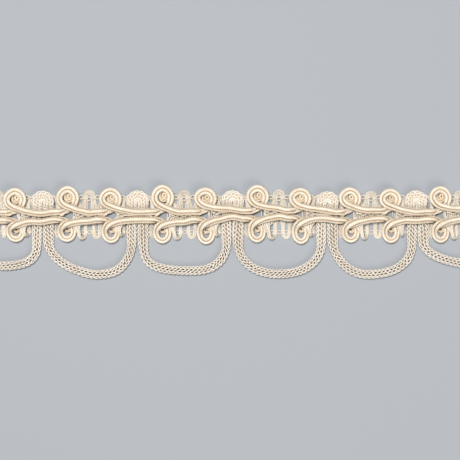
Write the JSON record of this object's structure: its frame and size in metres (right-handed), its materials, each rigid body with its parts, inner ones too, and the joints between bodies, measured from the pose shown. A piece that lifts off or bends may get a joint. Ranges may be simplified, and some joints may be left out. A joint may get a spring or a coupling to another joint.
{
  "type": "gimp braid trim",
  "caption": "Cut length of cream gimp braid trim with a scrolled satin heading and deep scallops of white knitted cord.",
  "frame": {"origin": "centre of the trim's outline, on the surface it lies on", "axes": "+X along the trim, +Y towards the domed and scrolled top edge, +Z out of the face"},
  "size_m": [0.152, 0.0302, 0.0051],
  "materials": {
    "gimp_yarn": "smooth white-cream cotton yarn, slight sheen",
    "knitted_cord": "soft matte white-cream knitted tube",
    "satin_cord": "glossy warm cream wrapped strands"
  },
  "bodies": {
    "root": {"gimp_yarn_ground": "gimp_yarn", "knitted_loop_cord": "knitted_cord", "upper_scroll_cord": "satin_cord", "lower_scroll_cord": "satin_cord"}
  },
  "joints": []
}
